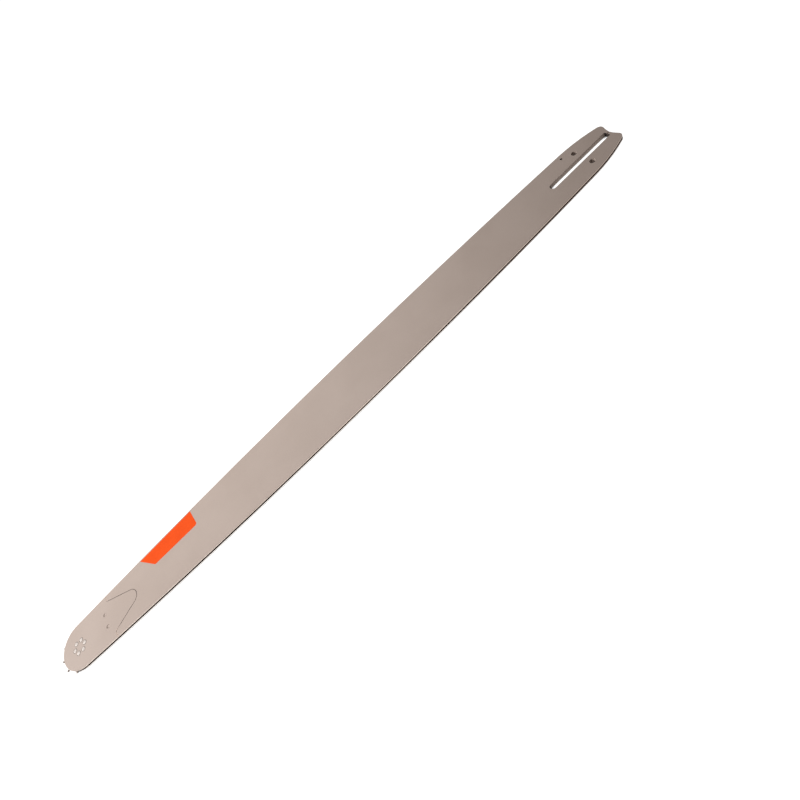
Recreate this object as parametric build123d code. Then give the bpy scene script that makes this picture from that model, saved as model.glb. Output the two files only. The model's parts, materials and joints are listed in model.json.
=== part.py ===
from build123d import *
from math import atan2, cos, degrees, hypot, radians, sin, sqrt
import os

# Chainsaw guide bar with a riveted sprocket nose, lying on its rear face.
# X runs from the mount to the nose, Z out of the front face. The origin lies on the
# rear face, midway between the two chain tension holes. Sizes are in millimetres.

# Plate: two rails with the chain groove between them
rail_thickness = 1.7
groove_width = 1.6
groove_depth = 8.5
edge_chamfer = 0.3

# Outline, from the tail to the nose
belly_width = 78.4
belly_x = 400.0
hub_x = 825.0
nose_radius = 28.8
nose_setback = 3.2
mount_width = 60.8
tail_taper_x = 12.0
tail_width = 35.6
tail_x = -48.2
tail_corner_radius = 6.0
tail_notch_depth = 5.6
tail_notch_radius = 23.0

# Mount: stud slot, relief slit, tension holes and oil holes
slot_width = 9.0
slot_nose_end_x = 53.7
slot_tail_end_x = -40.0
slot_corner_radius = 1.2
slit_width = 1.2
tension_hole_spacing = 30.0
tension_hole_diameter = 7.2
oil_hole_diameter = 3.0
oil_hole_x = 13.5
oil_hole_edge_distance = 7.2

# Nose joint: square shoulders and a V tongue let into the bar
shoulder_setback = 51.3
tongue_half_width = 22.4
tongue_half_angle = 21.4
tongue_tip_radius = 9.7
seam_gap = 0.12
tongue_rivet_setback = 43.0
tongue_rivet_spacing = 17.0
tongue_rivet_diameter = 4.4

# Nose sprocket
tooth_count = 11
tooth_tip_radius = 29.0
tooth_gap_radius = 7.0
tooth_gap_centre_radius = 27.2
tooth_phase = -5.0
sprocket_thickness = 1.5
web_clearance = 1.2

# Hub bearing: riveted inner race and a full ring of rollers
race_radius = 10.8
roller_count = 20
roller_diameter = 3.6
roller_length = 1.5
roller_clearance = 0.03
hub_rivet_count = 6
hub_rivet_circle_radius = 7.5
hub_rivet_diameter = 5.2
hub_rivet_crown = 0.25
rivet_clearance = 0.03

# Places that follow from the sizes above
thickness = 2 * rail_thickness + groove_width
front_rail_z = rail_thickness + groove_width
mid_z = thickness / 2
nose_x = hub_x - nose_setback
roller_orbit_radius = race_radius + roller_clearance + roller_diameter / 2
sprocket_bore_radius = roller_orbit_radius + roller_diameter / 2 + roller_clearance
tension_hole_places = [(0, side * tension_hole_spacing / 2) for side in (-1, 1)]
tongue_rivet_x = hub_x - tongue_rivet_setback
tongue_rivet_places = [(tongue_rivet_x, side * tongue_rivet_spacing / 2) for side in (-1, 1)]


def toward(start, end, distance):
    """The point at a distance from start, on the line through end."""
    share = distance / hypot(end[0] - start[0], end[1] - start[1])
    return (start[0] + share * (end[0] - start[0]), start[1] + share * (end[1] - start[1]))


def arc_about(centre, start, end):
    """The arc about a centre from one point to another, the short way."""
    start_angle = degrees(atan2(start[1] - centre[1], start[0] - centre[0]))
    end_angle = degrees(atan2(end[1] - centre[1], end[0] - centre[0]))
    radius = hypot(start[0] - centre[0], start[1] - centre[1])
    return CenterArc(centre, radius, start_angle, end_angle - start_angle)


def height_on(centre, radius, x):
    """How far out a circle about a centre reaches at x."""
    return centre[1] + sqrt(radius**2 - (x - centre[0]) ** 2)


def polar(radius, angle):
    """A point on a circle about the hub."""
    return (hub_x + radius * cos(radians(angle)), radius * sin(radians(angle)))


# One long edge is four arcs, each tangent to the next: tail, rear belly, front belly and nose
belly_half = belly_width / 2
belly_drop = belly_half - mount_width / 2
rear_belly_radius = ((belly_x - tail_taper_x) ** 2 + belly_drop**2) / (2 * belly_drop)
rear_belly_centre = (belly_x, belly_half - rear_belly_radius)
nose_reach = nose_x - belly_x
front_belly_radius = (nose_reach**2 + belly_half**2 - nose_radius**2) / (2 * (belly_half - nose_radius))
front_belly_centre = (belly_x, belly_half - front_belly_radius)
nose_centre = (nose_x, 0.0)
taper_start = (tail_taper_x, mount_width / 2)
tail_run = (tail_x - taper_start[0], tail_width / 2 - taper_start[1])
inward = toward((0, 0), (rear_belly_centre[0] - taper_start[0], rear_belly_centre[1] - taper_start[1]), 1)
tail_radius = hypot(*tail_run) ** 2 / (2 * (tail_run[0] * inward[0] + tail_run[1] * inward[1]))
tail_centre = toward(taper_start, rear_belly_centre, tail_radius)


def bar_outline(inset):
    """The whole bar seen from the front, with its long edges drawn in by an inset."""
    tail_corner = (tail_x, height_on(tail_centre, tail_radius - inset, tail_x))
    taper_join = toward(taper_start, tail_centre, inset)
    crest = (belly_x, belly_half - inset)
    nose_join = toward(front_belly_centre, nose_centre, front_belly_radius - inset)
    tip = (nose_x + nose_radius - inset, 0.0)
    upper = [
        arc_about(tail_centre, tail_corner, taper_join),
        arc_about(rear_belly_centre, taper_join, crest),
        arc_about(front_belly_centre, crest, nose_join),
        arc_about(nose_centre, nose_join, tip),
    ]
    lower = [mirror(edge, about=Plane.XZ) for edge in upper]
    tail_edge = Line(tail_corner, (tail_x, -tail_corner[1]))
    return make_face(upper + lower + [tail_edge])


def tail_notch():
    """The shallow notch across the tail, with a rounded bottom."""
    bottom = (tail_x + tail_notch_depth, 0.0)
    notch = make_face(Polyline(bottom, (tail_x, tail_width / 2), (tail_x, -tail_width / 2), close=True))
    return fillet(notch.vertices().sort_by(Axis.X)[-1], tail_notch_radius)


def plate_outline():
    """The outline of a rail: the whole bar, notched and rounded at the tail."""
    notched = bar_outline(0) - tail_notch()
    corners = notched.vertices().group_by(Axis.X)[0]
    return fillet(corners, tail_corner_radius)


def nose_zone():
    """All that belongs to the nose: square shoulders and the V tongue behind them."""
    shoulder_x = hub_x - shoulder_setback
    tongue_length = tongue_half_width / sin(radians(tongue_half_angle)) * cos(radians(tongue_half_angle))
    point = (shoulder_x - tongue_length, 0.0)
    tongue = make_face(
        Polyline(point, (shoulder_x, -tongue_half_width), (shoulder_x, tongue_half_width), close=True)
    )
    tongue = fillet(tongue.vertices().sort_by(Axis.X)[0], tongue_tip_radius)
    front_length = shoulder_setback + 2 * nose_radius
    front = Pos(shoulder_x + front_length / 2, 0) * Rectangle(front_length, 2 * belly_width)
    return tongue + front


def stud_slot():
    """Slot for the bar studs, with a round end towards the nose and a squarer one at the tail."""
    slot_length = slot_nose_end_x - slot_tail_end_x
    slot_x = (slot_nose_end_x + slot_tail_end_x) / 2
    square_half = Rectangle(slot_length / 2, slot_width, align=(Align.MIN, Align.CENTER))
    square_half = fillet(square_half.vertices().group_by(Axis.X)[0], slot_corner_radius)
    return Pos(slot_x, 0) * SlotOverall(slot_length, slot_width) + Pos(slot_tail_end_x, 0) * square_half


def mount_cuts():
    """Stud slot, its relief slit and the two tension holes."""
    cuts = stud_slot()
    slit_end_x = slot_tail_end_x + slot_width / 2
    slit_length = slit_end_x - tail_x
    cuts += Pos(tail_x + slit_length / 2, 0) * Rectangle(slit_length, slit_width)
    for place in tension_hole_places:
        cuts += Pos(*place) * Circle(tension_hole_diameter / 2)
    return cuts


def hub_rivet_places():
    """Centres of the hub rivets, two of them on the bar's long axis."""
    step = 360 / hub_rivet_count
    return [polar(hub_rivet_circle_radius, index * step) for index in range(hub_rivet_count)]


def chamfer_rims(solid):
    """Break the outer rim of the lowest and the highest face."""
    for end in (0, -1):
        rim = solid.faces().filter_by(Axis.Z).sort_by(Axis.Z)[end].outer_wire().edges()
        solid = chamfer(rim, edge_chamfer)
    return solid


def make_bar_body():
    """The bar: one steel plate, milled for the nose, the chain and the mount."""
    body = extrude(plate_outline(), thickness)
    pocket = extrude(offset(nose_zone(), seam_gap), rail_thickness)
    body -= pocket
    body -= Pos(0, 0, front_rail_z) * pocket
    body = chamfer_rims(body)
    groove = Pos(belly_x, 0) * Rectangle(2 * hub_x, 2 * belly_width) - bar_outline(groove_depth)
    groove += Pos(hub_x, 0) * Circle(tooth_tip_radius + web_clearance)
    body -= Pos(0, 0, rail_thickness) * extrude(groove, groove_width)
    body -= extrude(mount_cuts(), thickness)
    for place in tongue_rivet_places:
        body -= Pos(*place, mid_z) * Cylinder(tongue_rivet_diameter / 2 + rivet_clearance, thickness)
    drill_depth = thickness - rail_thickness
    drill = Cylinder(oil_hole_diameter / 2, drill_depth, align=(Align.CENTER, Align.CENTER, Align.MIN))
    oil_hole_y = height_on(rear_belly_centre, rear_belly_radius - oil_hole_edge_distance, oil_hole_x)
    body -= Pos(oil_hole_x, -oil_hole_y, rail_thickness) * drill
    body -= Pos(oil_hole_x, oil_hole_y, 0) * drill
    return body


def make_hub_rivet():
    """A hub rivet, standing a little proud of both cheeks."""
    return Pos(0, 0, mid_z) * Cylinder(hub_rivet_diameter / 2, thickness + 2 * hub_rivet_crown)


def make_rear_cheek():
    """The rear side plate of the nose, let into the bar and pierced for the rivets."""
    cheek = extrude(plate_outline() & nose_zone(), rail_thickness)
    rim = cheek.faces().sort_by(Axis.Z)[0].outer_wire().edges()
    cheek = chamfer(rim, edge_chamfer)
    for place in hub_rivet_places():
        cheek -= Pos(*place) * Cylinder(hub_rivet_diameter / 2 + rivet_clearance, 2 * rail_thickness)
    for place in tongue_rivet_places:
        cheek -= Pos(*place) * Cylinder(tongue_rivet_diameter / 2 + rivet_clearance, 2 * rail_thickness)
    return cheek


def make_sprocket():
    """The star wheel between the cheeks: a disc with round gaps for the drive links."""
    step = 360 / tooth_count
    star = Pos(hub_x, 0) * Circle(tooth_tip_radius)
    for index in range(tooth_count):
        gap_angle = tooth_phase + (index + 0.5) * step
        star -= Pos(*polar(tooth_gap_centre_radius, gap_angle)) * Circle(tooth_gap_radius)
    star -= Pos(hub_x, 0) * Circle(sprocket_bore_radius)
    return Pos(0, 0, mid_z - sprocket_thickness / 2) * extrude(star, sprocket_thickness)


def make_inner_race():
    """The hub disc that the rollers run on, clamped between the cheeks."""
    disc = Pos(hub_x, 0) * Circle(race_radius)
    for place in hub_rivet_places():
        disc -= Pos(*place) * Circle(hub_rivet_diameter / 2 + rivet_clearance)
    return Pos(0, 0, rail_thickness) * extrude(disc, groove_width)


def make_roller(angle):
    """One bearing roller, standing on end beside the race."""
    roller = Cylinder(roller_diameter / 2, roller_length)
    x, y = polar(roller_orbit_radius, angle)
    return Pos(x, y, mid_z) * roller


def make_tongue_rivet():
    """A flush rivet through both cheeks and the web of the bar."""
    rivet = Cylinder(tongue_rivet_diameter / 2, thickness)
    return Pos(0, 0, mid_z) * rivet


rear_cheek = make_rear_cheek()
hub_rivet = make_hub_rivet()
tongue_rivet = make_tongue_rivet()

nodes = {
    "bar_body": make_bar_body(),
    "nose_rear_cheek": rear_cheek,
    "nose_front_cheek": mirror(rear_cheek, about=Plane.XY.offset(mid_z)),
    "nose_sprocket": make_sprocket(),
    "bearing_inner_race": make_inner_race(),
    "hub_rivets": Compound([Pos(*place) * hub_rivet for place in hub_rivet_places()]),
    "tongue_rivets": Compound([Pos(*place) * tongue_rivet for place in tongue_rivet_places]),
}
for number in range(roller_count):
    nodes[f"bearing_roller_{number + 1:02d}"] = make_roller(number * 360 / roller_count)

os.makedirs("parts", exist_ok=True)
for name, solid in nodes.items():
    solid.label = name
    export_step(solid, f"parts/{name}.step")
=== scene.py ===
# %% [markdown]
# # A chainsaw guide bar, dressed for its portrait
# A guide bar is a long steel plate with a groove round its edge, in which the saw chain runs. The
# frame already holds every solid of it: the bar, the riveted nose, the star sprocket and its bearing.
# This lesson adds what the solids lack, which is paint, print, bare steel and rolled rivet heads.
# All of it is made in the same frame, in metres, so nothing has to be fitted afterwards.

# %% Open the frame
import json
from math import cos, pi, radians, sin, sqrt, tan

import bmesh
import bpy
from mathutils import Matrix, Vector


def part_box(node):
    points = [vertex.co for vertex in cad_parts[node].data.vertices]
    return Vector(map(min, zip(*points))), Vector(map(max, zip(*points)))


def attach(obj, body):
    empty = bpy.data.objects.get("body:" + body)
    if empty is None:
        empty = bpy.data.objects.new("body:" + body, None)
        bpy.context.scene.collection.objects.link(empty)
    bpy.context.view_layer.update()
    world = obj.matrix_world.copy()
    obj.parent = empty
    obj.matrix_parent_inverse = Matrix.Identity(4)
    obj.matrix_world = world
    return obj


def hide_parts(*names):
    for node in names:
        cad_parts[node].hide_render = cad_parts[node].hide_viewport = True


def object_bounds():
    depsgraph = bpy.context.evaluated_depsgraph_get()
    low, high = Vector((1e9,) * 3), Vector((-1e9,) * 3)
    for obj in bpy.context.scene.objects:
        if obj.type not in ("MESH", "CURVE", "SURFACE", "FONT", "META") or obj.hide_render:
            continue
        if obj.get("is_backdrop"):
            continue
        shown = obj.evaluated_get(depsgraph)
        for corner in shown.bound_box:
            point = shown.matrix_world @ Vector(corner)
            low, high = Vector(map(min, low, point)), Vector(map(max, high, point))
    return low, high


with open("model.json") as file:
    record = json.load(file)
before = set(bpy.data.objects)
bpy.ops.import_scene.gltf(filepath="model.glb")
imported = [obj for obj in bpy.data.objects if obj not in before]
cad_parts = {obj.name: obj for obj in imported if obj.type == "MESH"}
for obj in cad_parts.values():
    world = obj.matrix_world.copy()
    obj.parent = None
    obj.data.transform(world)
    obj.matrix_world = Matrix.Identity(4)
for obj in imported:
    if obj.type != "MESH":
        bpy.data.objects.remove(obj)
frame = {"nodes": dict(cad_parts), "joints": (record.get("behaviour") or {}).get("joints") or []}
cad_low, cad_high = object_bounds()
nodes = frame["nodes"]
mm = 0.001
print("solids:", len(nodes), "box in mm:", [round(size / mm, 2) for size in cad_high - cad_low])

# %% [markdown]
# Everything that is added has to sit on the bar, so its main planes and centres are read from the
# frame first. The hub is the axis of the sprocket's joint, and the front face is the top of the bar.

# %% Read the main planes and centres
bar_low, bar_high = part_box("bar_body")
front_z = bar_high.z
mid_z = (bar_low.z + bar_high.z) / 2
thickness = bar_high.z - bar_low.z
hub = Vector(frame["joints"][0]["pos_m"])
print("thickness in mm:", round(thickness / mm, 2), "hub at x in mm:", round(hub.x / mm, 1))

# %% [markdown]
# ## The camera
# The bar lies on its rear face. The camera stands on its lower side, looks down at it forty degrees
# from straight above, and is rolled, so that the bar runs from corner to corner of the picture. A
# target and a roll angle say this more plainly than three Euler angles would.

# %% Stand the camera
camera_place = Vector((0.36113, 0.51247, 0.52702))
camera_target = Vector((0.35559, 0.07156, 0.00500))
camera_roll = radians(43.7)
camera_lens = 27.9
camera_near = 10 * mm


def add_to_scene(name, data):
    """A new object that shows some data, in the scene."""
    thing = bpy.data.objects.new(name, data)
    bpy.context.scene.collection.objects.link(thing)
    return thing


def camera_matrix(place, target, roll):
    """A camera's pose, turned about its line of sight by a roll towards its right."""
    forward = (target - place).normalized()
    level_right = forward.cross(Vector((0, 0, 1))).normalized()
    level_up = level_right.cross(forward)
    up = level_up * cos(roll) + level_right * sin(roll)
    turn = Matrix((forward.cross(up), up, -forward)).transposed()
    return Matrix.Translation(place) @ turn.to_4x4()


camera = add_to_scene("camera", bpy.data.cameras.new("camera"))
camera.data.lens = camera_lens
camera.data.clip_start = camera_near
camera.matrix_world = camera_matrix(camera_place, camera_target, camera_roll)
bpy.context.scene.camera = camera
print("camera to target in mm:", round((camera_target - camera_place).length / mm))

# %% [markdown]
# ## Wiring nodes
# Materials and node groups are built from the same few moves: add a node, set or join its inputs,
# and take one output on. A small helper for those moves keeps each finish down to a few lines.

# %% A helper for nodes
class Wiring:
    """Adds nodes to one tree and joins them."""

    def __init__(self, tree):
        self.tree = tree

    def add(self, kind, inputs=None, **settings):
        """A node with its settings, and its inputs set to values or joined to other nodes."""
        node = self.tree.nodes.new(kind)
        for name, value in settings.items():
            setattr(node, name, value)
        self.feed(node, inputs or {})
        return node

    def feed(self, node, inputs):
        """Set a node's inputs, or join them to the outputs of other nodes."""
        for key, value in inputs.items():
            if isinstance(value, bpy.types.NodeSocket):
                self.tree.links.new(value, node.inputs[key])
            else:
                node.inputs[key].default_value = value

    def math(self, operation, first, second=0.0, third=0.0):
        """The result of one sum on up to three numbers."""
        node = self.add("ShaderNodeMath", {0: first, 1: second, 2: third}, operation=operation)
        return node.outputs[0]

    def times(self, first, second):
        """A product, which for two masks is where both hold."""
        return self.math("MULTIPLY", first, second)

    def most(self, first, second):
        """The greater number, which for two masks is where either holds."""
        return self.math("MAXIMUM", first, second)

    def flip(self, mask):
        """A mask turned round."""
        return self.math("SUBTRACT", 1.0, mask)

    def blend(self, share, first, second):
        """A colour between two others, which a Mix node takes at its sockets 6 and 7."""
        node = self.add("ShaderNodeMix", {0: share, 6: first, 7: second}, data_type="RGBA")
        return node.outputs[2]

    def lerp(self, share, first, second):
        """A number between two others, which a Mix node takes at its sockets 2 and 3."""
        return self.add("ShaderNodeMix", {0: share, 2: first, 3: second}).outputs[0]

    def noise(self, vector, scale, detail):
        """Soft random patches."""
        inputs = {"Vector": vector, "Scale": scale, "Detail": detail}
        return self.add("ShaderNodeTexNoise", inputs).outputs[0]

    def step(self, value, low, high):
        """Zero at low, one at high and smooth between. High may be the smaller number."""
        inputs = {"Value": value, "From Min": low, "From Max": high}
        return self.add("ShaderNodeMapRange", inputs, interpolation_type="SMOOTHSTEP").outputs[0]

    def split(self, vector):
        """The three numbers of a vector."""
        return self.add("ShaderNodeSeparateXYZ", {0: vector}).outputs

    def bump(self, height, strength, depth):
        """A normal that makes small heights show."""
        inputs = {"Height": height, "Strength": strength, "Distance": depth}
        return self.add("ShaderNodeBump", inputs).outputs[0]

    def group(self, tree, vector, inputs):
        """The outputs of a node group that is placed on given coordinates."""
        return self.add("ShaderNodeGroup", {"Vector": vector, **inputs}, node_tree=tree).outputs


print("moves:", [name for name in vars(Wiring) if not name.startswith("_")])

# %% [markdown]
# Groups and materials start the same way each time, so two more helpers make an empty one of each.
# A group names its sockets, because each material that uses it sets them by name.

# %% Empty groups and finishes
VECTOR, FLOAT = "NodeSocketVector", "NodeSocketFloat"


def new_group(name, inputs, outputs):
    """An empty shader node group with named sockets, and the wiring inside it."""
    tree = bpy.data.node_groups.new(name, "ShaderNodeTree")
    for socket_name, kind in inputs:
        tree.interface.new_socket(socket_name, in_out="INPUT", socket_type=kind)
    for socket_name in outputs:
        tree.interface.new_socket(socket_name, in_out="OUTPUT", socket_type=FLOAT)
    wires = Wiring(tree)
    return wires, wires.add("NodeGroupInput").outputs, wires.add("NodeGroupOutput")


def new_finish(name):
    """An empty material, its wiring and its main shader."""
    material = bpy.data.materials.new(name)
    material.use_nodes = True
    material.node_tree.nodes.clear()
    wires = Wiring(material.node_tree)
    shader = wires.add("ShaderNodeBsdfPrincipled")
    wires.add("ShaderNodeOutputMaterial", {"Surface": shader.outputs[0]})
    return material, wires, shader


print("sockets of a group are of the kinds", VECTOR, "and", FLOAT)

# %% [markdown]
# ## Shared effects
# No finish on a real part is one flat value. Sprayed paint dries to a fine orange peel and its tone
# drifts a little over a long plate, and ground steel carries fine lines and smears of oil. Both are
# patterns that more than one material needs, so each is a node group with its own inputs, built once.

# %% Two surface patterns
fine_detail, slow_detail = 3.0, 4.0


def make_skin_group():
    """Orange peel for a bump, and a slow drift of tone."""
    wires, given, result = new_group(
        "sprayed_skin",
        [("Vector", VECTOR), ("Peel Scale", FLOAT), ("Drift Scale", FLOAT)],
        ["Height", "Drift"],
    )
    peel = wires.noise(given["Vector"], given["Peel Scale"], fine_detail)
    drift = wires.noise(given["Vector"], given["Drift Scale"], slow_detail)
    wires.feed(result, {"Height": peel, "Drift": drift})
    return wires.tree


def make_grind_group():
    """Fine lines along one direction, as a grinding belt leaves them, and smears of oil."""
    wires, given, result = new_group(
        "ground_lines",
        [("Vector", VECTOR), ("Line Scale", FLOAT), ("Stretch", VECTOR), ("Smear Scale", FLOAT)],
        ["Height", "Smear"],
    )
    sides = {0: given["Vector"], 1: given["Stretch"]}
    stretched = wires.add("ShaderNodeVectorMath", sides, operation="MULTIPLY").outputs[0]
    lines = wires.noise(stretched, given["Line Scale"], fine_detail)
    smear = wires.noise(given["Vector"], given["Smear Scale"], slow_detail)
    wires.feed(result, {"Height": lines, "Smear": smear})
    return wires.tree


skin_group = make_skin_group()
grind_group = make_grind_group()
print("groups:", skin_group.name, grind_group.name)

# %% [markdown]
# ## Where paint ends and bare steel begins
# The bar is painted on its two faces. The rails that the chain slides on are ground bare, and their tones
# are partly a painted light. The groove between them is near black, partly oil and partly painted shade.
# The broken edge beside a rail is worn in patches and painted bright, partly wear and partly a painted
# highlight. The middle of the nose's seam is painted darker, and its ends are painted lighter than the
# face, a painted light that hides the shade of the crease there. All of this could be drawn on a map, but
# each mask follows from the direction of the surface and from its place on the bar, so it needs no map and
# stays sharp. The first cell holds the lines between them.

# %% Lines between rails, groove and seam
upright_wall = 0.3
rim_slope, rim_spread = 0.7, 0.2
rail_line_start, rail_line_top = 12 * mm, 23.5 * mm
rail_line_slope = 0.165
nose_rail_radius = 23 * mm
nose_rail_x = hub.x - 10 * mm
# The groove's mask is a band that rises along the bar, widens towards the nose and reaches past the groove
# onto the rails, where its near-black tone is a painted shade.
groove_tail_z, groove_nose_z = mid_z - 0.4 * mm, mid_z + 0.25 * mm
groove_turn_start, groove_turn_end = 50 * mm, 600 * mm
groove_half_width, nose_groove_half_width = 1.27 * mm, 1.34 * mm
nose_groove_start, nose_groove_end = 450 * mm, 620 * mm
# The seam's middle is painted darker; near its ends the dark fades out, and the ends are painted lighter
# than the face, a painted light that hides the shade of the crease.
seam_tip_x, seam_shoulder_x = hub.x - 100 * mm, hub.x - 50 * mm
seam_far_line, seam_far_hidden = -21.5 * mm, -24 * mm
seam_near_line, seam_near_hidden = 18.5 * mm, 21.5 * mm
print("seam from x in mm:", round(seam_tip_x / mm), "to", round(seam_shoulder_x / mm))

# %% [markdown]
# The outer edge lies beyond a line that rises from the tail, and beyond a circle round the hub. Walls
# out there are rails, walls further in belong to the slot and the holes, and slanting faces are rims.

# %% Masks of the edges
def outer_edge(wires, vector):
    """A mask of what lies at the bar's outer edge."""
    x, y, z = wires.split(vector)
    at_tail = rail_line_start - rail_line_slope * bar_low.x
    line = wires.math("MULTIPLY_ADD", x, rail_line_slope, at_tail)
    line = wires.math("MINIMUM", line, rail_line_top)
    beyond_line = wires.math("GREATER_THAN", wires.math("ABSOLUTE", y), line)
    level_hub = wires.add("ShaderNodeCombineXYZ", {"X": hub.x, "Z": z}).outputs[0]
    ends = {0: vector, 1: level_hub}
    from_hub = wires.add("ShaderNodeVectorMath", ends, operation="DISTANCE").outputs["Value"]
    beyond_circle = wires.math("GREATER_THAN", from_hub, nose_rail_radius)
    on_nose = wires.math("GREATER_THAN", x, nose_rail_x)
    return wires.most(beyond_line, wires.times(beyond_circle, on_nose))


def make_edges_group():
    """Masks of rails, groove, rims, the middle of the seam and its ends, and the walls inside the bar."""
    wires, given, result = new_group(
        "bar_edges",
        [("Vector", VECTOR), ("Normal", VECTOR)],
        ["Rail", "Groove", "Rim", "Seam", "SeamEnds", "Inside"],
    )
    x, y, z = wires.split(given["Vector"])
    lean, _, facing = wires.split(given["Normal"])
    facing = wires.math("ABSOLUTE", facing)
    wall = wires.math("LESS_THAN", facing, upright_wall)
    rim = wires.math("COMPARE", facing, rim_slope, rim_spread)
    outer = outer_edge(wires, given["Vector"])
    inland = wires.flip(outer)

    past_tip = wires.math("GREATER_THAN", x, seam_tip_x)
    near_seam = wires.times(past_tip, wires.math("LESS_THAN", x, seam_shoulder_x))
    crease = wires.times(near_seam, wires.most(wall, rim))
    line_far = wires.step(y, seam_far_hidden, seam_far_line)
    line_near = wires.step(y, seam_near_hidden, seam_near_line)
    line_shown = wires.times(line_far, line_near)
    shoulder = wires.math("GREATER_THAN", wires.math("ABSOLUTE", lean), upright_wall)
    # The ends of the seam, which get the painted light.
    closed = wires.times(wires.times(crease, wires.flip(line_shown)), wires.most(inland, shoulder))

    edge = wires.times(outer, wires.flip(closed))
    # The band of the groove moves and widens along the bar and reaches onto the rails: a painted shade
    # band.
    turning = wires.step(x, groove_turn_start, groove_turn_end)
    groove_z = wires.lerp(turning, groove_tail_z, groove_nose_z)
    widening = wires.step(x, nose_groove_start, nose_groove_end)
    groove_half = wires.lerp(widening, groove_half_width, nose_groove_half_width)
    groove = wires.times(edge, wires.math("COMPARE", z, groove_z, groove_half))
    wires.feed(result, {"Rail": wires.times(edge, wall), "Groove": groove, "Rim": wires.times(edge, rim)})
    wires.feed(result, {"Seam": wires.times(crease, line_shown), "SeamEnds": closed})
    wires.feed(result, {"Inside": wires.times(wall, inland)})
    return wires.tree


edges_group = make_edges_group()
print("masks:", [item.name for item in edges_group.interface.items_tree if item.in_out == "OUTPUT"])

# %% [markdown]
# A painted shade darkens the paint in the corner round each proud head of the hub rivets. The six heads
# share one circle, so the angle about the hub is folded onto the nearest head, and the law of cosines
# gives the distance from it.

# %% Mask for the painted shade round the hub rivets
hub_rivet_count = 6
hub_rivet_diameter = 5.2 * mm
hub_rivet_radius = hub_rivet_diameter / 2
hub_low, hub_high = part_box("hub_rivets")
hub_ring_radius = (hub_high.x - hub_low.x - hub_rivet_diameter) / 2


def make_rings_group():
    """A ring that fades outwards round each head of the hub rivets."""
    wires, given, result = new_group("rivet_rings", [("Vector", VECTOR), ("Width", FLOAT)], ["Ring"])
    x, y, _ = wires.split(given["Vector"])
    run = wires.math("SUBTRACT", x, hub.x)
    reach_squared = wires.math("ADD", wires.times(run, run), wires.times(y, y))
    folded = wires.math("PINGPONG", wires.math("ARCTAN2", y, run), pi / hub_rivet_count)
    across = wires.times(wires.math("SQRT", reach_squared), wires.math("COSINE", folded))
    squared = wires.math("MULTIPLY_ADD", across, -2 * hub_ring_radius, reach_squared)
    from_head = wires.math("SQRT", wires.math("ADD", squared, hub_ring_radius**2))
    ring_end = wires.math("ADD", given["Width"], hub_rivet_radius)
    wires.feed(result, {"Ring": wires.flip(wires.step(from_head, hub_rivet_radius, ring_end))})
    return wires.tree


rings_group = make_rings_group()
print("rings on a circle of radius in mm:", round(hub_ring_radius / mm, 2))

# %% [markdown]
# ## The satin grey paint
# The paint is a warm light grey with a soft sheen. Inside the slot the long walls are painted darker, a
# painted shade, and its two ends are painted near black, a painted shadow. The walls of the holes get a
# tone close to the paint. The ends are told from the long walls by how far the surface leans along the
# bar.

# %% Tones of the paint and of the walls inside the bar
paint_light, paint_deep = (0.445, 0.361, 0.314, 1), (0.424, 0.342, 0.296, 1)
# A painted light for the ends of the seam, lighter than the face, that hides the shade of its crease:
seam_end_painted_light = (0.60, 0.48, 0.41, 1)
# A painted shade for the long walls of the slot:
wall_painted_shade = (0.315, 0.245, 0.205, 1)
hole_paint = (0.42, 0.34, 0.295, 1)
# A painted shadow, near black, for the two ends of the slot:
slot_end_painted_shadow = (0.020, 0.015, 0.013, 1)
slot_reach, slot_start_x = 8 * mm, -41 * mm
slot_end_lean = 0.2, 0.55


def inner_wall_tone(wires, along, across, lean):
    """Colour of the walls of the slot, of the holes and of the tail's notch."""
    past_tail = wires.math("GREATER_THAN", along, slot_start_x)
    near_middle = wires.math("LESS_THAN", wires.math("ABSOLUTE", across), slot_reach)
    slot_end = wires.step(wires.math("ABSOLUTE", lean), *slot_end_lean)
    # Painted shade on the slot's long walls, and a near-black painted shadow at its ends.
    slot_wall = wires.blend(slot_end, wall_painted_shade, slot_end_painted_shadow)
    other_wall = wires.blend(past_tail, paint_deep, hole_paint)
    return wires.blend(wires.times(near_middle, past_tail), other_wall, slot_wall)


print("slot walls within mm of the middle:", slot_reach / mm)

# %% [markdown]
# The two rails are ground bare steel. Their tones are a painted light: they brighten from the tail towards
# the nose, and the rear rail is painted near white. Round the nose, where the rails face the key softbox,
# a painted shade darkens them. The groove is near black, partly oil and partly painted shade, and a
# stretch of it in the middle of the bar is painted lighter, a painted light.

# %% Tones of the rails and the groove
# Painted light: the rail tones brighten from the tail to the nose, and the rear rail is painted near
# white.
front_rail_dull, front_rail_bright = (0.40, 0.31, 0.26, 1), (0.80, 0.65, 0.56, 1)
rear_rail_dull, rear_rail_bright = (0.60, 0.50, 0.44, 1), (0.98, 0.92, 0.87, 1)
front_rail_light_ramp = 0.0, 420 * mm
rear_rail_light_ramp = 100 * mm, 350 * mm
# A painted shade for the rails round the nose, where they face the key softbox:
nose_rail_painted_shade = (0.27, 0.245, 0.225, 1)
nose_rail_shade_turn = 0.62, 0.85
# Near black in the groove, partly oil and partly painted shade, and a lighter painted light in its middle
# stretch:
groove_oil_and_shade, groove_painted_light = (0.032, 0.011, 0.005, 1), (0.24, 0.18, 0.145, 1)
groove_light_x, groove_light_reach = 370 * mm, 170 * mm


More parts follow.
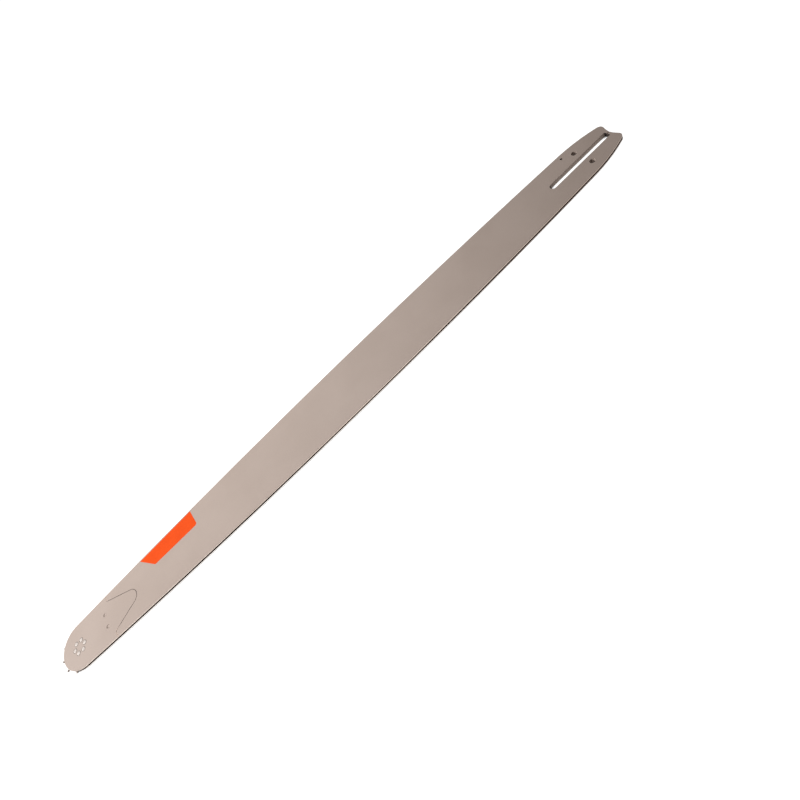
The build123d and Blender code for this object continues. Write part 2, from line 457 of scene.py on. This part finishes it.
def rail_tone(wires, along, height, lean):
    """Colour of the rails: bare steel with a painted light that brightens towards the nose, the rear rail
    near white, and a painted shade on both round the nose.
    """
    front_rail = wires.blend(wires.step(along, *front_rail_light_ramp), front_rail_dull, front_rail_bright)
    rear_rail = wires.blend(wires.step(along, *rear_rail_light_ramp), rear_rail_dull, rear_rail_bright)
    rear_side = wires.math("LESS_THAN", height, mid_z)
    long_rail = wires.blend(rear_side, front_rail, rear_rail)
    return wires.blend(wires.step(lean, *nose_rail_shade_turn), long_rail, nose_rail_painted_shade)


def groove_tone(wires, along):
    """Colour of the groove: near black, partly oil and partly painted shade, with a painted light in the
    middle of the bar.
    """
    from_light_middle = wires.math("ABSOLUTE", wires.math("SUBTRACT", along, groove_light_x))
    return wires.blend(wires.step(from_light_middle, 0.0, groove_light_reach), groove_painted_light, groove_oil_and_shade)


# The middle of the painted light in the groove:
print("groove worn at x in mm:", round(groove_light_x / mm))

# %% [markdown]
# The finish puts these together. Its ground colour lies between two close tones, chosen by the drift, and
# its bump is the orange peel. Each mask then lays its own tone over what is below it: a darker line in the
# middle of the seam, a painted light in its ends, a painted shade round the rivets, painted shade and
# painted shadow on the inner walls, wear and a painted highlight on the rims, and last the rails with
# their painted light and the groove, near black with oil and painted shade.

# %% Paint the bar and the nose
paint_peel_scale, paint_drift_scale = 900, 14
paint_drift = 0.35, 0.65
paint_roughness, bare_roughness = (0.52, 0.58), 0.32
paint_bump, paint_bump_depth = 0.12, 0.1 * mm
paint_specular = 0.2
patch_scale, patch_detail = 220, 5.0
patch_limits = 0.50, 0.62
rim_glint_least, rim_glint_spread = 0.6, 0.3
# Partly wear in patches and partly a painted highlight: the bright tone on the rims.
rim_wear_and_highlight = (0.80, 0.73, 0.67, 1)
# Darker along the middle of the seam:
seam_line_tone, seam_share = (0.075, 0.062, 0.055, 1), 0.8
# Painted shade in the ring round each hub rivet:
ring_painted_shade, ring_share = (0.17, 0.14, 0.12, 1), 0.7
ring_width = 0.9 * mm


def make_paint():
    """Satin paint, bare on the rails and worn on the rims, with painted light, painted shade and a painted
    highlight laid on by the masks.
    """
    material, wires, shader = new_finish("satin_grey_paint")
    place = wires.add("ShaderNodeTexCoord").outputs
    spot = place["Object"]
    scales = {"Peel Scale": paint_peel_scale, "Drift Scale": paint_drift_scale}
    skin = wires.group(skin_group, spot, scales)
    edges = wires.group(edges_group, spot, {"Normal": place["Normal"]})
    rings = wires.group(rings_group, spot, {"Width": ring_width})
    along, across, height = wires.split(spot)
    lean = wires.split(place["Normal"])[0]
    drift = wires.step(skin["Drift"], *paint_drift)
    patches = wires.step(wires.noise(spot, patch_scale, patch_detail), *patch_limits)
    rim_wear_and_glint = wires.times(edges["Rim"], wires.math("MULTIPLY_ADD", patches, rim_glint_spread, rim_glint_least))
    layers = [
        (wires.times(edges["Seam"], seam_share), seam_line_tone),
        (edges["SeamEnds"], seam_end_painted_light),
        (wires.times(rings["Ring"], ring_share), ring_painted_shade),
        (edges["Inside"], inner_wall_tone(wires, along, across, lean)),
        (rim_wear_and_glint, rim_wear_and_highlight),
        (edges["Rail"], rail_tone(wires, along, height, lean)),
        (edges["Groove"], groove_tone(wires, along)),
    ]
    colour = wires.blend(drift, paint_deep, paint_light)
    for mask, tone in layers:
        colour = wires.blend(mask, colour, tone)
    bare = wires.times(wires.most(edges["Rail"], rim_wear_and_glint), wires.flip(edges["Groove"]))
    roughness = wires.lerp(bare, wires.lerp(drift, *paint_roughness), bare_roughness)
    peel = wires.bump(skin["Height"], paint_bump, paint_bump_depth)
    wires.feed(shader, {"Base Color": colour, "Roughness": roughness, "Metallic": bare})
    wires.feed(shader, {"Normal": peel, "Specular IOR Level": paint_specular})
    return material


def dress(node_names, material):
    """Give CAD nodes a finish in place of their plain one."""
    for name in node_names:
        slots = nodes[name].data.materials
        slots.clear()
        slots.append(material)
    print(material.name, "on", len(node_names), "nodes")


satin_grey_paint = make_paint()
dress(["bar_body", "nose_front_cheek", "nose_rear_cheek"], satin_grey_paint)

# %% [markdown]
# ## Steel of the nose
# The sprocket is stamped from a hard dark steel and lies in oil. The race and the rollers are ground
# bright. They share the ground lines, at different scales and tones.

# %% Steel for the sprocket and the bearing
oil_scale = 160
oil_smear = 0.35, 0.65
grind_bump, grind_bump_depth = 0.15, 0.05 * mm


def make_steel(name, tones, roughness, line_scale, stretch):
    """Bare steel: two tones that an oil smear goes between, and ground lines as a bump."""
    material, wires, shader = new_finish(name)
    place = wires.add("ShaderNodeTexCoord").outputs
    scales = {"Line Scale": line_scale, "Stretch": stretch, "Smear Scale": oil_scale}
    grind = wires.group(grind_group, place["Object"], scales)
    smear = wires.step(grind["Smear"], *oil_smear)
    lines = wires.bump(grind["Height"], grind_bump, grind_bump_depth)
    wires.feed(shader, {"Base Color": wires.blend(smear, *tones), "Normal": lines, "Metallic": 1.0})
    wires.feed(shader, {"Roughness": wires.lerp(smear, *roughness)})
    return material


sprocket_steel = make_steel(
    "sprocket_steel",
    tones=[(0.14, 0.115, 0.10, 1), (0.21, 0.18, 0.16, 1)],
    roughness=(0.38, 0.5),
    line_scale=900,
    stretch=(1, 6, 1),
)
ground_bearing_steel = make_steel(
    "ground_bearing_steel",
    tones=[(0.48, 0.47, 0.46, 1), (0.60, 0.59, 0.58, 1)],
    roughness=(0.22, 0.32),
    line_scale=1400,
    stretch=(1, 1, 8),
)
dress(["nose_sprocket"], sprocket_steel)
dress([name for name in nodes if name.startswith("bearing")], ground_bearing_steel)

# %% [markdown]
# ## Rivets
# Six rivets hold the hub together and two hold the tongue of the nose. A rivet is closed by rolling
# or punching its end, which leaves a low dome or a shallow dish. Modelling one and copying it by hand
# would work, but the pieces follow one rule, so a Geometry Nodes tree makes them: a cylinder whose
# caps swell by a set crown, placed on every point of the base mesh. How far a point lies from its
# rivet's axis is kept as an attribute, for the finish to read.

# %% A tree that makes rivets
RIVET_SIZES = ("Diameter", "Length", "Crown", "Fullness")
GEOMETRY, MATERIAL = "NodeSocketGeometry", "NodeSocketMaterial"
rivet_sides, rivet_cap_rings = 40, 8
rivet_crease = radians(50)


def shaped_rivet(wires, given):
    """One rivet on its own axis, with swollen caps and a mark of the distance from its axis."""
    radius = wires.times(given["Diameter"], 0.5)
    counts = {"Vertices": rivet_sides, "Side Segments": 1, "Fill Segments": rivet_cap_rings}
    sizes = {"Radius": radius, "Depth": given["Length"]}
    blank = wires.add("GeometryNodeMeshCylinder", {**counts, **sizes}, fill_type="TRIANGLE_FAN")
    x, y, z = wires.split(wires.add("GeometryNodeInputPosition").outputs[0])
    reach = wires.math("SQRT", wires.math("ADD", wires.times(x, x), wires.times(y, y)))
    share = wires.math("DIVIDE", reach, radius)
    swell = wires.flip(wires.math("POWER", share, given["Fullness"]))
    swell = wires.times(wires.times(swell, given["Crown"]), wires.math("SIGN", z))
    lift = wires.add("ShaderNodeCombineXYZ", {"Z": swell}).outputs[0]
    moved = {"Geometry": blank.outputs["Mesh"], "Offset": lift}
    closed = wires.add("GeometryNodeSetPosition", moved).outputs[0]
    mark = {"Geometry": closed, "Name": "from_axis", "Value": share}
    return wires.add("GeometryNodeStoreNamedAttribute", mark, data_type="FLOAT", domain="POINT").outputs[0]


def smooth_but_creased(wires, geometry):
    """Smooth shading, apart from the sharp edge between a cap and the side."""
    every_face = {"Geometry": geometry, "Shade Smooth": True}
    smooth = wires.add("GeometryNodeSetShadeSmooth", every_face).outputs[0]
    bend = wires.add("GeometryNodeInputMeshEdgeAngle").outputs["Unsigned Angle"]
    sharp = wires.math("GREATER_THAN", bend, rivet_crease)
    crease = {"Geometry": smooth, "Selection": sharp, "Shade Smooth": False}
    return wires.add("GeometryNodeSetShadeSmooth", crease, domain="EDGE").outputs[0]


def make_rivet_tree():
    """A tree that puts one closed rivet on every point and gives it its finish."""
    tree = bpy.data.node_groups.new("closed_rivets", "GeometryNodeTree")
    tree.interface.new_socket("Geometry", in_out="INPUT", socket_type=GEOMETRY)
    for name in RIVET_SIZES:
        tree.interface.new_socket(name, in_out="INPUT", socket_type=FLOAT)
    tree.interface.new_socket("Finish", in_out="INPUT", socket_type=MATERIAL)
    tree.interface.new_socket("Geometry", in_out="OUTPUT", socket_type=GEOMETRY)
    wires = Wiring(tree)
    given = wires.add("NodeGroupInput").outputs
    rivet = smooth_but_creased(wires, shaped_rivet(wires, given))
    copies = {"Points": given["Geometry"], "Instance": rivet}
    placed = wires.add("GeometryNodeInstanceOnPoints", copies).outputs[0]
    solid = wires.add("GeometryNodeRealizeInstances", {"Geometry": placed}).outputs[0]
    coat = {"Geometry": solid, "Material": given["Finish"]}
    finished = wires.add("GeometryNodeSetMaterial", coat).outputs[0]
    wires.add("NodeGroupOutput", {"Geometry": finished})
    return tree


rivet_tree = make_rivet_tree()
print("tree:", rivet_tree.name, "with", len(rivet_tree.nodes), "nodes")

# %% [markdown]
# The rivets' own finish is bright steel, polished where the riveting tool rolled over it. A painted shade
# darkens the rim of each head and the side that leans towards the tail, away from the key softbox.

# %% Finish of the rivet heads
rivet_polished, rivet_smeared = (0.56, 0.495, 0.455, 1), (0.53, 0.47, 0.43, 1)
# Painted shade at the rim of a head and on its side away from the key softbox:
rivet_painted_shade = (0.20, 0.165, 0.145, 1)
rivet_line_scale, rivet_smear_scale = 1500, 700
rivet_smear = 0.3, 0.7
rivet_rim_shade = 0.80, 0.98
rivet_shaded_lean = -0.08, -0.35
rivet_roughness, rivet_shade_roughness = (0.54, 0.60), 0.65
rivet_bump, rivet_bump_depth = 0.1, 0.04 * mm
rivet_metallic, rivet_specular = 0.15, 0.3


def make_rivet_steel():
    """Rolled steel with a painted shade at the rim of a head and on its side towards the tail."""
    material, wires, shader = new_finish("rolled_rivet_steel")
    place = wires.add("ShaderNodeTexCoord").outputs
    scales = {"Line Scale": rivet_line_scale, "Stretch": (1, 1, 1), "Smear Scale": rivet_smear_scale}
    grind = wires.group(grind_group, place["Object"], scales)
    from_axis = wires.add("ShaderNodeAttribute", attribute_name="from_axis").outputs["Fac"]
    lean = wires.split(place["Normal"])[0]
    shaded = wires.most(wires.step(from_axis, *rivet_rim_shade), wires.step(lean, *rivet_shaded_lean))
    smear = wires.step(grind["Smear"], *rivet_smear)
    colour = wires.blend(shaded, wires.blend(smear, rivet_polished, rivet_smeared), rivet_painted_shade)
    roughness = wires.lerp(shaded, wires.lerp(smear, *rivet_roughness), rivet_shade_roughness)
    lines = wires.bump(grind["Height"], rivet_bump, rivet_bump_depth)
    wires.feed(shader, {"Base Color": colour, "Roughness": roughness, "Normal": lines})
    wires.feed(shader, {"Metallic": rivet_metallic, "Specular IOR Level": rivet_specular})
    return material


rolled_rivet_steel = make_rivet_steel()
print("finish:", rolled_rivet_steel.name)

# %% [markdown]
# Each set of rivets becomes one plain mesh, and the modifier is gone before the set is tied to the
# bar. The tree leaves an empty material slot in front of the finish, which goes as well.

# %% A helper that closes a set of rivets
def make_rivets(name, places, sizes, finish):
    """A set of rivets as one plain mesh."""
    points = bpy.data.meshes.new(name)
    points.from_pydata(places, [], [])
    piece = add_to_scene(name, points)
    modifier = piece.modifiers.new("rivets", "NODES")
    modifier.node_group = rivet_tree
    values = dict(zip(RIVET_SIZES, sizes), Finish=finish)
    for item in rivet_tree.interface.items_tree:
        if item.in_out == "INPUT" and item.name in values:
            modifier[item.identifier] = values[item.name]
    depsgraph = bpy.context.evaluated_depsgraph_get()
    mesh = bpy.data.meshes.new_from_object(
        piece.evaluated_get(depsgraph), preserve_all_data_layers=True, depsgraph=depsgraph
    )
    piece.modifiers.clear()
    piece.data = mesh
    mesh.name = name
    mesh.materials.pop(index=0)
    print(name, "faces:", len(mesh.polygons), "finish:", mesh.materials[0].name)
    return piece


print("sizes of a rivet:", RIVET_SIZES)

# %% [markdown]
# The six rivets of the hub stand proud by a low dome. Their circle and the top of the dome are read
# from the solids that they stand for, so the new heads sit exactly where the old ones did.

# %% Close the rivets of the hub
hub_head_rim = 0.04 * mm
hub_fullness = 5.0
hub_crown = hub_high.z - front_z - hub_head_rim
hub_places = []
for index in range(hub_rivet_count):
    angle = 2 * pi * index / hub_rivet_count
    hub_places.append((hub.x + hub_ring_radius * cos(angle), hub_ring_radius * sin(angle), mid_z))
hub_sizes = (hub_rivet_diameter, thickness + 2 * hub_head_rim, hub_crown, hub_fullness)
hub_heads = make_rivets("hub_rivet_heads", hub_places, hub_sizes, rolled_rivet_steel)
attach(hub_heads, "bar")
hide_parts("hub_rivets")

# %% [markdown]
# The two rivets of the tongue are punched flush and painted over with the bar, so only a shallow dish
# shows. The same tree makes them, with a crown below zero.

# %% Close the two rivets of the tongue
tongue_dish = -0.9 * mm
tongue_fullness = 3.0
tongue_low, tongue_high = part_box("tongue_rivets")
tongue_diameter = tongue_high.x - tongue_low.x
tongue_x = (tongue_low.x + tongue_high.x) / 2
tongue_places = []
for y in (tongue_low.y + tongue_diameter / 2, tongue_high.y - tongue_diameter / 2):
    tongue_places.append((tongue_x, y, mid_z))
tongue_sizes = (tongue_diameter, thickness, tongue_dish, tongue_fullness)
tongue_heads = make_rivets("tongue_rivet_heads", tongue_places, tongue_sizes, satin_grey_paint)
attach(tongue_heads, "bar")
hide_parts("tongue_rivets")

# %% [markdown]
# ## The orange field
# A field of orange is printed on the front face, near the nose. Its outer side follows the edge of
# the bar, one end is square and the other slants, and its inner corners are rounded. A mask in the
# paint would do, but a thin film of its own keeps the sides crisp however coarse a baked map is.

# %% Outline of the field
belly_x, belly_half = 400 * mm, bar_high.y
shoulder_x, shoulder_half = hub.x - 51.3 * mm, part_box("nose_front_cheek")[1].y
belly_drop = belly_half - shoulder_half
belly_radius = ((shoulder_x - belly_x) ** 2 + belly_drop**2) / (2 * belly_drop)
field_margin = 1.8 * mm
field_corner = 3 * mm
field_nose_x, field_tail_x = 715.3 * mm, 630.8 * mm
field_inner_nose = Vector((698.1 * mm, -10.6 * mm))
field_inner_tail = Vector((629.7 * mm, -10.5 * mm))
arc_steps, corner_steps = 24, 8


def half_width(x):
    """Half the bar's width at x, on the long arc between its belly and the nose."""
    return belly_half - belly_radius + sqrt(belly_radius**2 - (x - belly_x) ** 2)


def rounded_corner(before, corner, after, radius):
    """Points of an arc that cuts a corner off."""
    back, ahead = (before - corner).normalized(), (after - corner).normalized()
    half_turn = back.angle(ahead) / 2
    centre = corner + (back + ahead).normalized() * radius / sin(half_turn)
    cut = radius / tan(half_turn)
    first_spoke, last_spoke = corner + back * cut - centre, corner + ahead * cut - centre
    points = []
    for step in range(corner_steps + 1):
        spoke = first_spoke.lerp(last_spoke, step / corner_steps)
        points.append(centre + spoke.normalized() * radius)
    return points


def field_outline():
    """Corners and arcs of the field, round it once."""
    points = []
    for step in range(arc_steps + 1):
        x = field_tail_x + (field_nose_x - field_tail_x) * step / arc_steps
        points.append(Vector((x, -half_width(x) + field_margin)))
    outer_tail, outer_nose = points[0], points[-1]
    points += rounded_corner(outer_nose, field_inner_nose, field_inner_tail, field_corner)
    points += rounded_corner(field_inner_nose, field_inner_tail, outer_tail, field_corner)
    return points


print("belly radius in mm:", round(belly_radius / mm), "points:", len(field_outline()))

# %% [markdown]
# The print is a saturated orange with a sheen of its own. A faint drift of tone and a fine grain keep
# it from looking like a cut-out.

# %% Finish of the field
orange_deep, orange_light = (0.75, 0.077, 0.012, 1), (0.79, 0.084, 0.013, 1)
orange_grain_scale, orange_drift_scale = 1600, 60
orange_drift = 0.3, 0.7
orange_roughness = 0.55, 0.62
orange_bump, orange_bump_depth = 0.1, 0.05 * mm
orange_specular = 0.03


def make_orange_print():
    """Orange print with a slow drift of tone."""
    material, wires, shader = new_finish("orange_print")
    place = wires.add("ShaderNodeTexCoord").outputs
    scales = {"Peel Scale": orange_grain_scale, "Drift Scale": orange_drift_scale}
    skin = wires.group(skin_group, place["Object"], scales)
    drift = wires.step(skin["Drift"], *orange_drift)
    colour = wires.blend(drift, orange_deep, orange_light)
    grain = wires.bump(skin["Height"], orange_bump, orange_bump_depth)
    wires.feed(shader, {"Base Color": colour, "Roughness": wires.lerp(drift, *orange_roughness)})
    wires.feed(shader, {"Normal": grain, "Specular IOR Level": orange_specular})
    return material


orange_print = make_orange_print()
print("finish:", orange_print.name)

# %% [markdown]
# The film is one face, drawn out to a thin closed slab. It is sunk a little into the face of the bar,
# so that no gap can show under its side.

# %% Print the field
field_film, field_sunk = 0.05 * mm, 0.02 * mm


def make_film(name, outline, low, high, material):
    """A thin closed film with a given outline."""
    shape = bmesh.new()
    lower_face = shape.faces.new([shape.verts.new((point.x, point.y, low)) for point in outline])
    grown = bmesh.ops.extrude_face_region(shape, geom=[lower_face])["geom"]
    for vertex in [item for item in grown if isinstance(item, bmesh.types.BMVert)]:
        vertex.co.z = high
    bmesh.ops.recalc_face_normals(shape, faces=shape.faces)
    mesh = bpy.data.meshes.new(name)
    shape.to_mesh(mesh)
    shape.free()
    mesh.materials.append(material)
    return add_to_scene(name, mesh)


film_low, film_high = front_z - field_sunk, front_z + field_film
orange_field = make_film("orange_field", field_outline(), film_low, film_high, orange_print)
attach(orange_field, "bar")
print("orange field faces:", len(orange_field.data.polygons))

# %% [markdown]
# ## Floor and light
# The bar lies on a pale sweep. The floor glows a little, which keeps it white right across the
# picture, and the glow is held back where the bar shades it, so that the holes stay deep.

# %% Lay the floor
floor_half = 8.0
floor_drop = 0.01 * mm
floor_corners = (-1, -1), (1, -1), (1, 1), (-1, 1)
floor_white, floor_roughness = (0.25, 0.25, 0.25, 1), 0.9
white = (1, 1, 1, 1)
floor_glow = 1.05
glow_reach, glow_samples = 14 * mm, 16
glow_limits = 0.36, 0.47


def make_floor():
    """A wide pale floor just below the bar."""
    z = cad_low.z - floor_drop
    mesh = bpy.data.meshes.new("floor")
    corners = [(x * floor_half, y * floor_half, z) for x, y in floor_corners]
    mesh.from_pydata(corners, [], [(0, 1, 2, 3)])
    material, wires, shader = new_finish("pale_sweep")
    shade = wires.add("ShaderNodeAmbientOcclusion", {"Distance": glow_reach}, samples=glow_samples)
    glow = wires.times(wires.step(shade.outputs["AO"], *glow_limits), floor_glow)
    wires.feed(shader, {"Base Color": floor_white, "Roughness": floor_roughness})
    wires.feed(shader, {"Emission Color": white, "Emission Strength": glow})
    mesh.materials.append(material)
    return add_to_scene("floor", mesh)


floor = make_floor()
floor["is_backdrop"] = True
print("floor at z in mm:", round(floor.data.vertices[0].co.z / mm, 3))

# %% [markdown]
# One large softbox beyond the nose gives the bar its fall from bright to dark. A small one above the
# middle lifts the far half a little, and two faint cards catch the rivet heads and the rims of the
# nose. A light is aimed at a point on the bar, which is easier to change than its angles.

# %% Set the lights
def make_softbox(name, place, aim, size, power):
    """A square light that faces a point."""
    light = bpy.data.lights.new(name, "AREA")
    light.size = size
    light.energy = power
    softbox = add_to_scene(name, light)
    turn = (Vector(aim) - Vector(place)).to_track_quat("-Z", "Y").to_matrix()
    softbox.matrix_world = Matrix.Translation(place) @ turn.to_4x4()
    return softbox


lights = [
    make_softbox("key_softbox", place=(1.80, -0.30, 0.90), aim=(0.75, 0, 0), size=0.7, power=24.6),
    make_softbox("top_softbox", place=(0.48, -0.30, 0.70), aim=(0.48, 0, 0), size=0.5, power=3.8),
    make_softbox("rivet_card", place=(1.42, -0.66, 0.67), aim=(0.82, 0, 0), size=0.5, power=0.3),
    make_softbox("rim_card", place=(1.42, 0.74, 0.72), aim=(0.80, 0, 0), size=0.5, power=1.4),
]
print("power in W:", {light.name: round(light.data.energy, 1) for light in lights})

# %% [markdown]
# The sky is white behind the floor and dim as a light, because a bright one would flatten the fall
# from bright to dark. Which of the two a ray meets depends on whether it comes from the camera.

# %% Hang the sky
sky_fill, sky_backdrop = 0.06, 1.05
sky = bpy.data.worlds.new("pale_sky")
sky.use_nodes = True
sky_wires = Wiring(sky.node_tree)
sky_seen = sky_wires.add("ShaderNodeLightPath").outputs["Is Camera Ray"]
sky_strength = sky_wires.lerp(sky_seen, sky_fill, sky_backdrop)
sky_wires.feed(sky.node_tree.nodes["Background"], {"Color": white, "Strength": sky_strength})
bpy.context.scene.world = sky
bpy.context.scene.view_settings.view_transform = "Standard"
print("sky as a light:", sky_fill, "as a backdrop:", sky_backdrop)

# %% [markdown]
# ## Measure
# The dressed bar has to keep the size of the solids, so the growth of its box over the box of the solids
# is printed.

# %% Compare the boxes
dressed_low, dressed_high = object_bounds()
growth = [round((a - b) / mm, 3) for a, b in zip(dressed_high - dressed_low, cad_high - cad_low)]
print("growth of the box in mm:", growth)
